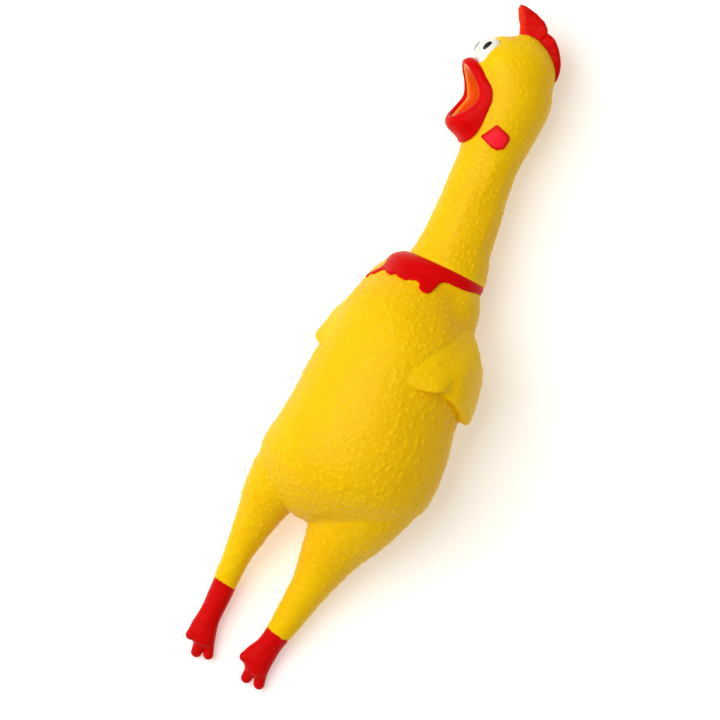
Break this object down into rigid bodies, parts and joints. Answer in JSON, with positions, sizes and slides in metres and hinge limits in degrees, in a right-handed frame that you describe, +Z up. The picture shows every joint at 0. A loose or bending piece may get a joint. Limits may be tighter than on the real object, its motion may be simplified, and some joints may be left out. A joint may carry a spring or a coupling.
{
  "type": "rubber chicken squeaky toy",
  "caption": "Hollow soft-vinyl screaming chicken toy lying on its back, swivelling neck and head, bendable neck, legs and feet, pressable belly with a squeaker",
  "frame": {"origin": "centre of the toy's footprint on the surface it lies on", "axes": "+Y from the feet to the comb, +X to the toy's own left side, +Z up from the surface, belly up and rolled 28 degrees toward -X"},
  "size_m": [0.0767, 0.3085, 0.0659],
  "materials": {
    "yellow_vinyl": "satin",
    "red_collar": "satin",
    "red_feet": "satin",
    "red_comb": "satin",
    "red_lips": "satin",
    "orange_mouth": "satin",
    "white_eye": "satin",
    "black_pupil": "satin",
    "coral_patch": "satin",
    "squeaker_plastic": "satin",
    "squeaker_film": "satin"
  },
  "bodies": {
    "torso": {"torso_skin": "yellow_vinyl", "collar_band": "red_collar"},
    "belly": {"belly_panel": "yellow_vinyl"},
    "neck_base": {"neck_lower": "yellow_vinyl", "squeaker_barrel": "squeaker_plastic", "squeaker_reed_block": "squeaker_plastic", "squeaker_reed": "squeaker_film", "squeaker_wedge": "squeaker_plastic", "squeaker_cap": "squeaker_plastic"},
    "neck": {"neck_upper": "yellow_vinyl"},
    "head": {"head_skin": "yellow_vinyl", "comb": "red_comb", "beak_lips": "red_lips", "mouth_lining": "orange_mouth", "eye_white_left": "white_eye", "eye_white_right": "white_eye", "pupil_left": "black_pupil", "pupil_right": "black_pupil", "cheek_patch_left": "coral_patch", "cheek_patch_right": "coral_patch"},
    "wing_left": {"wing_left": "yellow_vinyl"},
    "wing_right": {"wing_right": "yellow_vinyl"},
    "leg_left": {"leg_left": "yellow_vinyl"},
    "leg_right": {"leg_right": "yellow_vinyl"},
    "foot_left": {"foot_left": "red_feet"},
    "foot_right": {"foot_right": "red_feet"}
  },
  "joints": [
    {"name": "neck_swivel", "type": "hinge", "parent": "torso", "child": "neck_base", "pos_m": [0.0027, 0.0391, 0.0214], "axis": [0, 1, 0], "continuous": true},
    {"name": "neck_bend", "type": "hinge", "parent": "neck_base", "child": "neck", "pos_m": [0.0017, 0.0521, 0.0212], "axis": [0, 0, 1], "range_deg": [-25, 25], "stiffness_Nm_per_rad": 0.9},
    {"name": "head_nod", "type": "hinge", "parent": "neck", "child": "head", "pos_m": [-0.0008, 0.0836, 0.0206], "axis": [0.309, 0, 0.9511], "range_deg": [-22, 22], "stiffness_Nm_per_rad": 0.6},
    {"name": "wing_left_flap", "type": "hinge", "parent": "torso", "child": "wing_left", "pos_m": [0.02119, 0.0241, 0.04027], "axis": [-0.4695, 0, 0.8829], "range_deg": [0, 40], "stiffness_Nm_per_rad": 0.08},
    {"name": "wing_right_flap", "type": "hinge", "parent": "torso", "child": "wing_right", "pos_m": [-0.02119, 0.0241, 0.01773], "axis": [0.4695, 0, -0.8829], "range_deg": [0, 40], "stiffness_Nm_per_rad": 0.08},
    {"name": "hip_left_swing", "type": "hinge", "parent": "torso", "child": "leg_left", "pos_m": [0.0116, -0.0699, 0.0272], "axis": [-1, 0, 0], "range_deg": [-12, 40], "stiffness_Nm_per_rad": 0.5},
    {"name": "hip_right_swing", "type": "hinge", "parent": "torso", "child": "leg_right", "pos_m": [-0.0228, -0.0719, 0.0252], "axis": [-1, 0, 0], "range_deg": [-12, 40], "stiffness_Nm_per_rad": 0.5},
    {"name": "ankle_left_flop", "type": "hinge", "parent": "leg_left", "child": "foot_left", "pos_m": [0.003, -0.1294, 0.0094], "axis": [-1, 0, 0], "range_deg": [-35, 35], "stiffness_Nm_per_rad": 0.05},
    {"name": "ankle_right_flop", "type": "hinge", "parent": "leg_right", "child": "foot_right", "pos_m": [-0.0265, -0.1234, 0.0092], "axis": [-1, 0, 0], "range_deg": [-35, 35], "stiffness_Nm_per_rad": 0.05},
    {"name": "belly_squeeze", "type": "slide", "parent": "torso", "child": "belly", "axis": [0.4695, 0, -0.8829], "range_m": [0, 0.016], "stiffness_N_per_m": 500}
  ]
}
